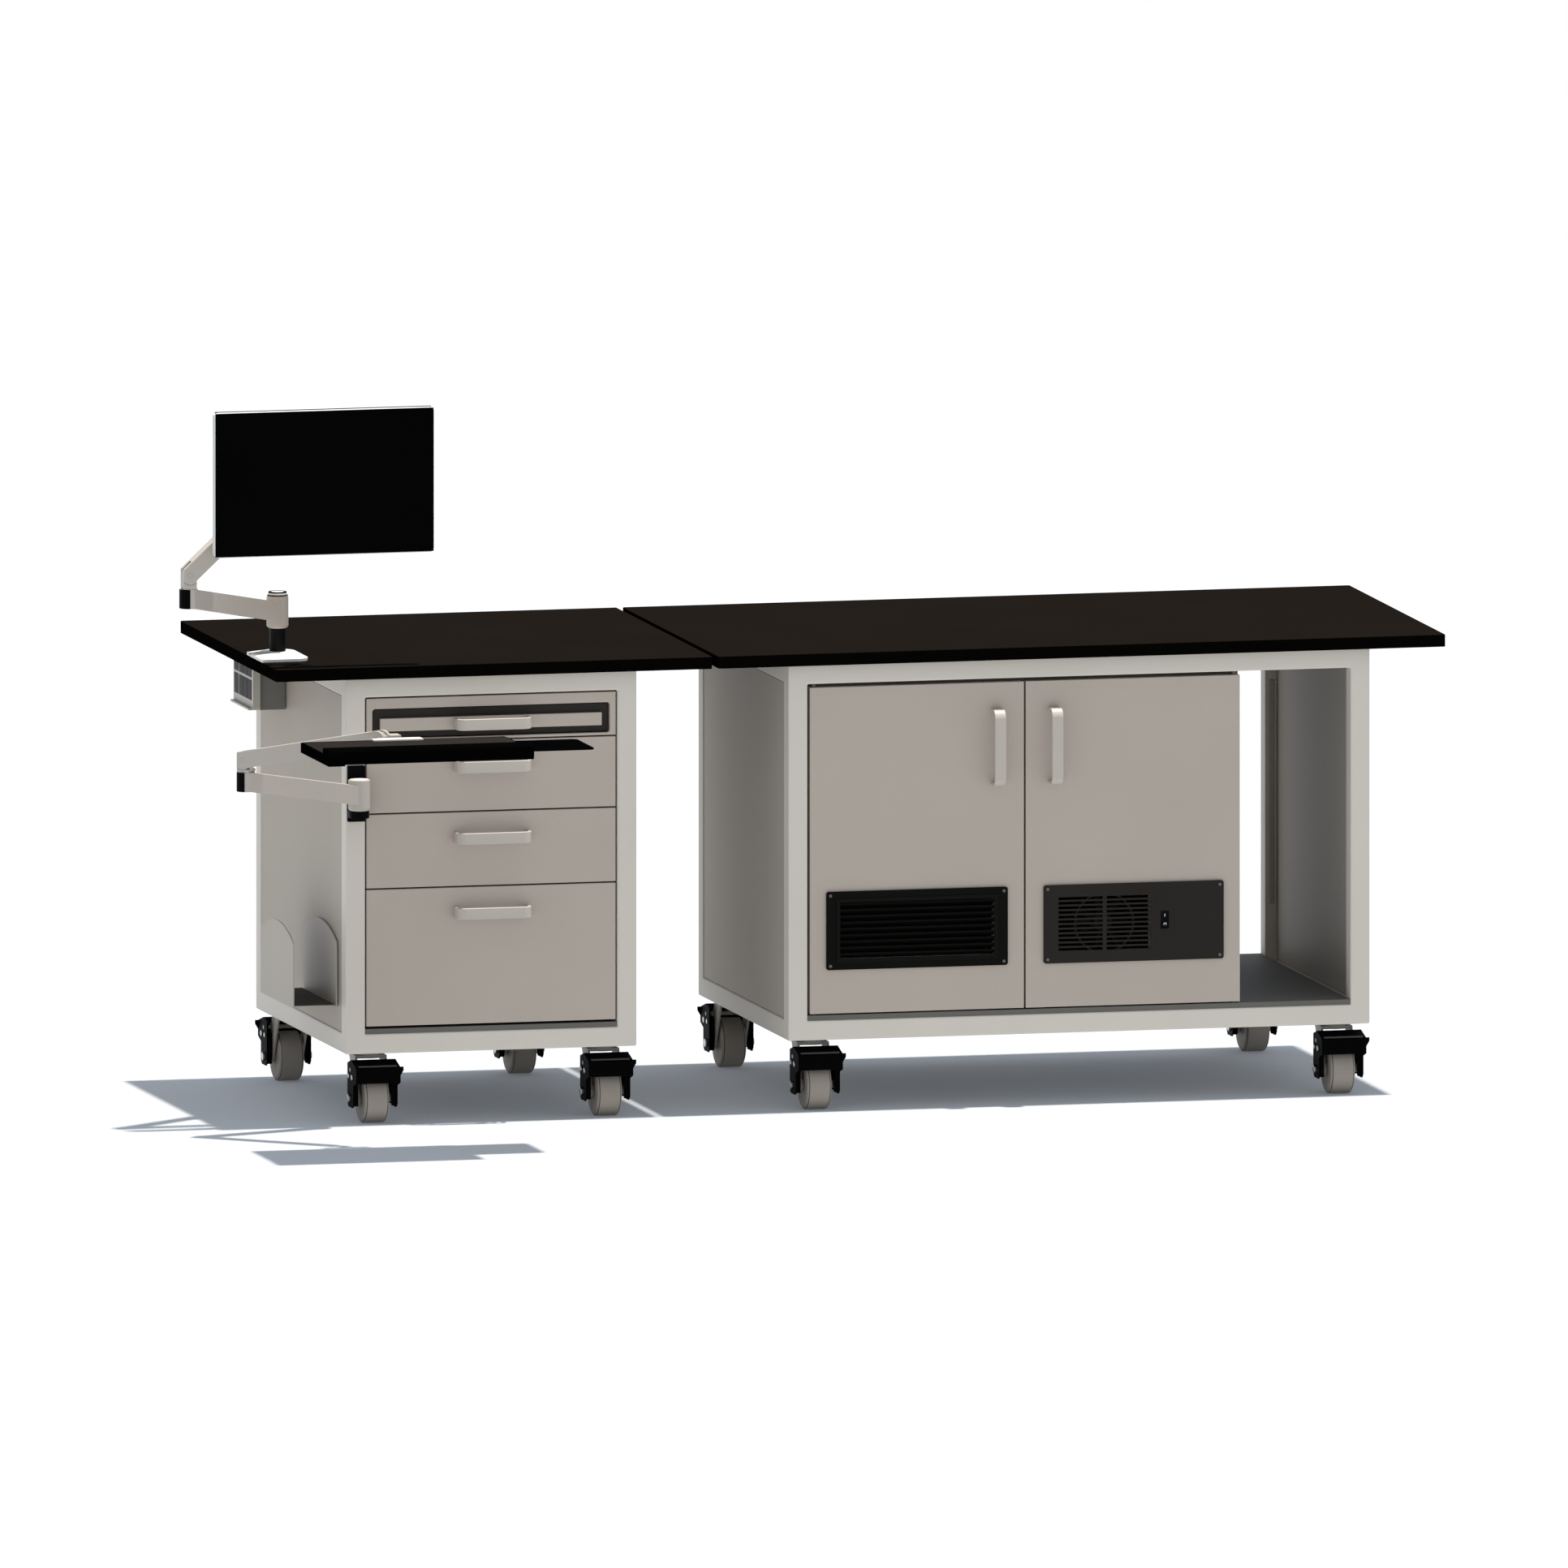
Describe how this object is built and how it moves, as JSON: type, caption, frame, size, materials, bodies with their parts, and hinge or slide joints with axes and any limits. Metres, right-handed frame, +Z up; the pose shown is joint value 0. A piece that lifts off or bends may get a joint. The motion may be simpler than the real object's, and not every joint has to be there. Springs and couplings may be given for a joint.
{
  "type": "instrument bench",
  "caption": "Pair of mobile laboratory benches with black worktops, drawers, a vented pump enclosure, an open bay, a monitor arm, a keyboard arm and brake casters.",
  "frame": {"origin": "on the floor under the middle of the whole assembly's box", "axes": "+X along the worktops to the right as seen from the front, +Y to the rear, +Z up"},
  "size_m": [2.5938, 1.4052, 1.451],
  "materials": {
    "frame_paint": "satin light grey powder coat",
    "board_grey": "matte warm grey laminate",
    "panel_grey": "matte warm grey laminate",
    "worktop_resin": "black cast resin, honed",
    "board_dark": "dark grey board",
    "slide_steel": "zinc plated",
    "caster_steel": "zinc plated pressing",
    "caster_tread": "grey thermoplastic tread",
    "pedal_black": "black pressing",
    "arm_paint": "satin grey paint on castings",
    "mount_paint": "white plate and black post",
    "bracket_black": "satin black paint",
    "display_case": "dark case with pale bezel",
    "tray_black": "black moulded tray",
    "outlet_shell": "light grey moulding",
    "holder_paint": "light grey folded sheet",
    "vent_black": "satin black",
    "fan_black": "black moulding",
    "rocker_black": "gloss black"
  },
  "bodies": {
    "benches": {"left_frame": "frame_paint", "left_worktop": "worktop_resin", "bench_panels": "panel_grey", "left_apron": "board_grey", "slide_rails": "slide_steel", "right_frame": "frame_paint", "right_worktop": "worktop_resin", "inner_boards": "board_dark", "monitor_mount": "mount_paint", "outlet_box": "outlet_shell", "cpu_holder": "holder_paint", "keyboard_bracket": "bracket_black", "caster_plates": "caster_steel"},
    "left_door": {"left_door": "board_grey", "vent_panel": "vent_black"},
    "right_door": {"right_door": "board_grey", "fan_panel": "vent_black"},
    "pullout_shelf": {"pullout_shelf": "board_grey"},
    "fan_rotor": {"fan_rotor": "fan_black"},
    "power_switch": {"power_switch": "rocker_black"},
    "monitor_lower_arm": {"monitor_lower_arm": "arm_paint"},
    "monitor_elbow": {"monitor_elbow": "arm_paint"},
    "monitor_upper_arm": {"monitor_upper_arm": "arm_paint"},
    "monitor_head": {"monitor_head": "arm_paint"},
    "monitor_pivot": {"monitor_pivot": "arm_paint"},
    "monitor_display": {"monitor_display": "display_case"},
    "keyboard_lower_arm": {"keyboard_lower_arm": "arm_paint"},
    "keyboard_elbow": {"keyboard_elbow": "arm_paint"},
    "keyboard_upper_arm": {"keyboard_upper_arm": "arm_paint"},
    "keyboard_head": {"keyboard_head": "arm_paint"},
    "keyboard_pivot": {"keyboard_pivot": "arm_paint"},
    "keyboard_tray": {"keyboard_tray": "tray_black"},
    "mouse_tray": {"mouse_tray": "tray_black"},
    "drawer_1": {"drawer_1": "board_grey"},
    "drawer_2": {"drawer_2": "board_grey"},
    "drawer_3": {"drawer_3": "board_grey"},
    "caster_fork_1": {"caster_fork_1": "caster_steel"},
    "caster_wheel_1": {"caster_wheel_1": "caster_tread"},
    "caster_pedal_1": {"caster_pedal_1": "pedal_black"},
    "caster_fork_2": {"caster_fork_2": "caster_steel"},
    "caster_wheel_2": {"caster_wheel_2": "caster_tread"},
    "caster_pedal_2": {"caster_pedal_2": "pedal_black"},
    "caster_fork_3": {"caster_fork_3": "caster_steel"},
    "caster_wheel_3": {"caster_wheel_3": "caster_tread"},
    "caster_pedal_3": {"caster_pedal_3": "pedal_black"},
    "caster_fork_4": {"caster_fork_4": "caster_steel"},
    "caster_wheel_4": {"caster_wheel_4": "caster_tread"},
    "caster_pedal_4": {"caster_pedal_4": "pedal_black"},
    "caster_fork_5": {"caster_fork_5": "caster_steel"},
    "caster_wheel_5": {"caster_wheel_5": "caster_tread"},
    "caster_pedal_5": {"caster_pedal_5": "pedal_black"},
    "caster_fork_6": {"caster_fork_6": "caster_steel"},
    "caster_wheel_6": {"caster_wheel_6": "caster_tread"},
    "caster_pedal_6": {"caster_pedal_6": "pedal_black"},
    "caster_fork_7": {"caster_fork_7": "caster_steel"},
    "caster_wheel_7": {"caster_wheel_7": "caster_tread"},
    "caster_pedal_7": {"caster_pedal_7": "pedal_black"},
    "caster_fork_8": {"caster_fork_8": "caster_steel"},
    "caster_wheel_8": {"caster_wheel_8": "caster_tread"},
    "caster_pedal_8": {"caster_pedal_8": "pedal_black"}
  },
  "joints": [
    {"name": "drawer_slide_1", "type": "slide", "parent": "benches", "child": "drawer_1", "axis": [0, -1, 0], "range_m": [0, 0.4]},
    {"name": "drawer_slide_2", "type": "slide", "parent": "benches", "child": "drawer_2", "axis": [0, -1, 0], "range_m": [0, 0.4]},
    {"name": "drawer_slide_3", "type": "slide", "parent": "benches", "child": "drawer_3", "axis": [0, -1, 0], "range_m": [0, 0.4]},
    {"name": "shelf_slide", "type": "slide", "parent": "benches", "child": "pullout_shelf", "axis": [0, -1, 0], "range_m": [0, 0.25]},
    {"name": "left_door_hinge", "type": "hinge", "parent": "benches", "child": "left_door", "pos_m": [0.00223, -0.09037, 0], "axis": [0, 0, -1], "range_deg": [0, 100]},
    {"name": "right_door_hinge", "type": "hinge", "parent": "benches", "child": "right_door", "pos_m": [0.86893, -0.09037, 0], "axis": [0, 0, 1], "range_deg": [0, 100]},
    {"name": "fan_spin", "type": "hinge", "parent": "right_door", "child": "fan_rotor", "pos_m": [0.59908, -0.10037, 0.3652], "axis": [0, 1, 0], "continuous": true},
    {"name": "switch_rock", "type": "hinge", "parent": "right_door", "child": "power_switch", "pos_m": [0.72308, -0.09837, 0.3682], "axis": [1, 0, 0], "range_deg": [0, 6]},
    {"name": "monitor_base", "type": "hinge", "parent": "benches", "child": "monitor_lower_arm", "pos_m": [-1.05277, 0.12063, 0.983], "axis": [0, 0, 1], "range_deg": [-60, 40]},
    {"name": "monitor_elbow_turn", "type": "hinge", "parent": "monitor_lower_arm", "child": "monitor_elbow", "pos_m": [-1.27893, -0.05607, 1.09], "axis": [0, 0, 1], "range_deg": [-90, 60]},
    {"name": "monitor_lift", "type": "hinge", "parent": "monitor_elbow", "child": "monitor_upper_arm", "pos_m": [-1.27893, -0.05607, 1.119], "axis": [0, -1, 0], "range_deg": [-25, 15]},
    {"name": "monitor_level", "type": "hinge", "parent": "monitor_upper_arm", "child": "monitor_head", "pos_m": [-1.08, -0.05607, 1.3045], "axis": [0, -1, 0], "range_deg": [-15, 25]},
    {"name": "monitor_pan", "type": "hinge", "parent": "monitor_head", "child": "monitor_pivot", "pos_m": [-1.014, -0.05607, 1.3045], "axis": [0, 0, 1], "range_deg": [-5, 50]},
    {"name": "monitor_tilt", "type": "hinge", "parent": "monitor_pivot", "child": "monitor_display", "pos_m": [-1.014, -0.07707, 1.3045], "axis": [-1, 0, 0], "range_deg": [-5, 30]},
    {"name": "keyboard_base", "type": "hinge", "parent": "benches", "child": "keyboard_lower_arm", "pos_m": [-0.94577, -0.13287, 0.641], "axis": [0, 0, 1], "range_deg": [-30, 20]},
    {"name": "keyboard_elbow_turn", "type": "hinge", "parent": "keyboard_lower_arm", "child": "keyboard_elbow", "pos_m": [-1.19992, -0.21791, 0.7375], "axis": [0, 0, -1], "range_deg": [-20, 90]},
    {"name": "keyboard_lift", "type": "hinge", "parent": "keyboard_elbow", "child": "keyboard_upper_arm", "pos_m": [-1.19992, -0.21791, 0.7635], "axis": [-0.6508, -0.7593, 0], "range_deg": [-20, 25]},
    {"name": "keyboard_level", "type": "hinge", "parent": "keyboard_upper_arm", "child": "keyboard_head", "pos_m": [-0.97178, -0.41345, 0.82136], "axis": [-0.6508, -0.7593, 0], "range_deg": [-25, 20]},
    {"name": "keyboard_pan", "type": "hinge", "parent": "keyboard_head", "child": "keyboard_pivot", "pos_m": [-0.94824, -0.43363, 0.82136], "axis": [0, 0, 1], "range_deg": [-30, 40]},
    {"name": "keyboard_tilt", "type": "hinge", "parent": "keyboard_pivot", "child": "keyboard_tray", "pos_m": [-0.94824, -0.45463, 0.82136], "axis": [1, 0, 0], "range_deg": [-15, 15]},
    {"name": "mouse_swivel", "type": "hinge", "parent": "keyboard_tray", "child": "mouse_tray", "pos_m": [-0.78724, -0.54863, 0.81396], "axis": [0, 0, 1], "range_deg": [-12, 40]},
    {"name": "caster_swivel_1", "type": "hinge", "parent": "benches", "child": "caster_fork_1", "pos_m": [-0.89877, -0.01237, 0], "axis": [0, 0, 1], "continuous": true},
    {"name": "caster_roll_1", "type": "hinge", "parent": "caster_fork_1", "child": "caster_wheel_1", "pos_m": [-0.89877, -0.04737, 0.05], "axis": [1, 0, 0], "continuous": true},
    {"name": "caster_brake_1", "type": "hinge", "parent": "caster_fork_1", "child": "caster_pedal_1", "pos_m": [-0.89877, -0.05237, 0.108], "axis": [1, 0, 0], "range_deg": [0, 8]},
    {"name": "caster_swivel_2", "type": "hinge", "parent": "benches", "child": "caster_fork_2", "pos_m": [-0.90577, 0.61263, 0], "axis": [0, 0, 1], "continuous": true},
    {"name": "caster_roll_2", "type": "hinge", "parent": "caster_fork_2", "child": "caster_wheel_2", "pos_m": [-0.90577, 0.64763, 0.05], "axis": [1, 0, 0], "continuous": true},
    {"name": "caster_brake_2", "type": "hinge", "parent": "caster_fork_2", "child": "caster_pedal_2", "pos_m": [-0.90577, 0.65263, 0.108], "axis": [-1, 0, 0], "range_deg": [0, 8]},
    {"name": "caster_swivel_3", "type": "hinge", "parent": "benches", "child": "caster_fork_3", "pos_m": [-0.41877, -0.01237, 0], "axis": [0, 0, 1], "continuous": true},
    {"name": "caster_roll_3", "type": "hinge", "parent": "caster_fork_3", "child": "caster_wheel_3", "pos_m": [-0.41877, -0.04737, 0.05], "axis": [1, 0, 0], "continuous": true},
    {"name": "caster_brake_3", "type": "hinge", "parent": "caster_fork_3", "child": "caster_pedal_3", "pos_m": [-0.41877, -0.05237, 0.108], "axis": [1, 0, 0], "range_deg": [0, 8]},
    {"name": "caster_swivel_4", "type": "hinge", "parent": "benches", "child": "caster_fork_4", "pos_m": [-0.42577, 0.61263, 0], "axis": [0, 0, 1], "continuous": true},
    {"name": "caster_roll_4", "type": "hinge", "parent": "caster_fork_4", "child": "caster_wheel_4", "pos_m": [-0.42577, 0.64763, 0.05], "axis": [1, 0, 0], "continuous": true},
    {"name": "caster_brake_4", "type": "hinge", "parent": "caster_fork_4", "child": "caster_pedal_4", "pos_m": [-0.42577, 0.65263, 0.108], "axis": [-1, 0, 0], "range_deg": [0, 8]},
    {"name": "caster_swivel_5", "type": "hinge", "parent": "benches", "child": "caster_fork_5", "pos_m": [0.01393, -0.01237, 0], "axis": [0, 0, 1], "continuous": true},
    {"name": "caster_roll_5", "type": "hinge", "parent": "caster_fork_5", "child": "caster_wheel_5", "pos_m": [0.01393, -0.04737, 0.05], "axis": [1, 0, 0], "continuous": true},
    {"name": "caster_brake_5", "type": "hinge", "parent": "caster_fork_5", "child": "caster_pedal_5", "pos_m": [0.01393, -0.05237, 0.108], "axis": [1, 0, 0], "range_deg": [0, 8]},
    {"name": "caster_swivel_6", "type": "hinge", "parent": "benches", "child": "caster_fork_6", "pos_m": [0.00693, 0.61263, 0], "axis": [0, 0, 1], "continuous": true},
    {"name": "caster_roll_6", "type": "hinge", "parent": "caster_fork_6", "child": "caster_wheel_6", "pos_m": [0.00693, 0.64763, 0.05], "axis": [1, 0, 0], "continuous": true},
    {"name": "caster_brake_6", "type": "hinge", "parent": "caster_fork_6", "child": "caster_pedal_6", "pos_m": [0.00693, 0.65263, 0.108], "axis": [-1, 0, 0], "range_deg": [0, 8]},
    {"name": "caster_swivel_7", "type": "hinge", "parent": "benches", "child": "caster_fork_7", "pos_m": [1.09393, -0.01237, 0], "axis": [0, 0, 1], "continuous": true},
    {"name": "caster_roll_7", "type": "hinge", "parent": "caster_fork_7", "child": "caster_wheel_7", "pos_m": [1.09393, -0.04737, 0.05], "axis": [1, 0, 0], "continuous": true},
    {"name": "caster_brake_7", "type": "hinge", "parent": "caster_fork_7", "child": "caster_pedal_7", "pos_m": [1.09393, -0.05237, 0.108], "axis": [1, 0, 0], "range_deg": [0, 8]},
    {"name": "caster_swivel_8", "type": "hinge", "parent": "benches", "child": "caster_fork_8", "pos_m": [1.08693, 0.61263, 0], "axis": [0, 0, 1], "continuous": true},
    {"name": "caster_roll_8", "type": "hinge", "parent": "caster_fork_8", "child": "caster_wheel_8", "pos_m": [1.08693, 0.64763, 0.05], "axis": [1, 0, 0], "continuous": true},
    {"name": "caster_brake_8", "type": "hinge", "parent": "caster_fork_8", "child": "caster_pedal_8", "pos_m": [1.08693, 0.65263, 0.108], "axis": [-1, 0, 0], "range_deg": [0, 8]}
  ],
  "couplings": [
    {"joint": "monitor_level", "follows": "monitor_lift", "ratio": -1},
    {"joint": "keyboard_level", "follows": "keyboard_lift", "ratio": -1}
  ]
}
